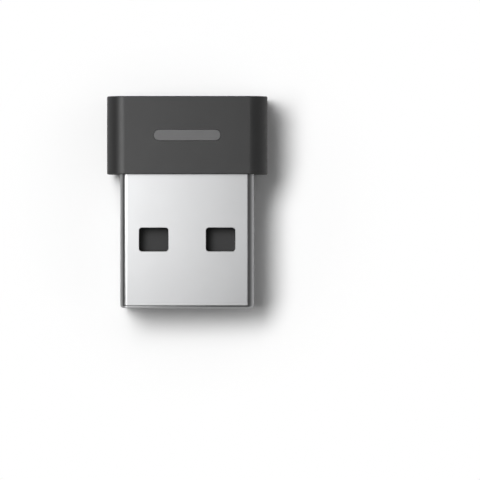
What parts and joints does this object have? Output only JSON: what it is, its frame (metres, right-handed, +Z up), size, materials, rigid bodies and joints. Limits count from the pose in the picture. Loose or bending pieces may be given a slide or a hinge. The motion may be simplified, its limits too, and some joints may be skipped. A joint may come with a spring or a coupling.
{
  "type": "usb network adapter",
  "caption": "Short plug-in radio adapter: a rectangular steel plug with latch windows, set in a small rounded plastic head with a light bar.",
  "frame": {"origin": "under the middle of the whole adapter, at the level of the head's underside", "axes": "+Y from the plug's lip to the end of the head, +Z up through the face with the light bar, +X to the right in the picture"},
  "size_m": [0.0144, 0.019, 0.006],
  "materials": {
    "housing_plastic": "moulded, fine matt texture",
    "light_plastic": "frosted smoky clear moulding",
    "shell_steel": "nickel-plated, satin",
    "block_plastic": "glass-filled moulding",
    "contact_gold": "gold-plated strip",
    "board_laminate": "green solder mask",
    "chip_resin": "black moulding resin",
    "crystal_metal": "plated can",
    "capacitor_ceramic": "fired, with tinned ends",
    "resistor_ceramic": "glazed, with tinned ends",
    "ferrite": "pressed ferrite with tinned ends",
    "antenna_ceramic": "fired, with tinned ends",
    "lamp_resin": "pale clear resin"
  },
  "bodies": {
    "root": {"housing": "housing_plastic", "light_pipe": "light_plastic", "plug_shell": "shell_steel", "contact_block": "block_plastic", "contact_power": "contact_gold", "contact_data_minus": "contact_gold", "contact_data_plus": "contact_gold", "contact_ground": "contact_gold", "circuit_board": "board_laminate", "radio_chip": "chip_resin", "memory_chip": "chip_resin", "surge_protector": "chip_resin", "voltage_regulator": "chip_resin", "crystal": "crystal_metal", "power_inductor": "ferrite", "antenna_chip": "antenna_ceramic", "status_led_left": "lamp_resin", "status_led_right": "lamp_resin", "capacitor_1": "capacitor_ceramic", "capacitor_2": "capacitor_ceramic", "capacitor_3": "capacitor_ceramic", "capacitor_4": "capacitor_ceramic", "capacitor_5": "capacitor_ceramic", "capacitor_6": "capacitor_ceramic", "capacitor_7": "capacitor_ceramic", "capacitor_8": "capacitor_ceramic", "resistor_1": "resistor_ceramic", "resistor_2": "resistor_ceramic", "resistor_3": "resistor_ceramic", "resistor_4": "resistor_ceramic"}
  },
  "joints": []
}
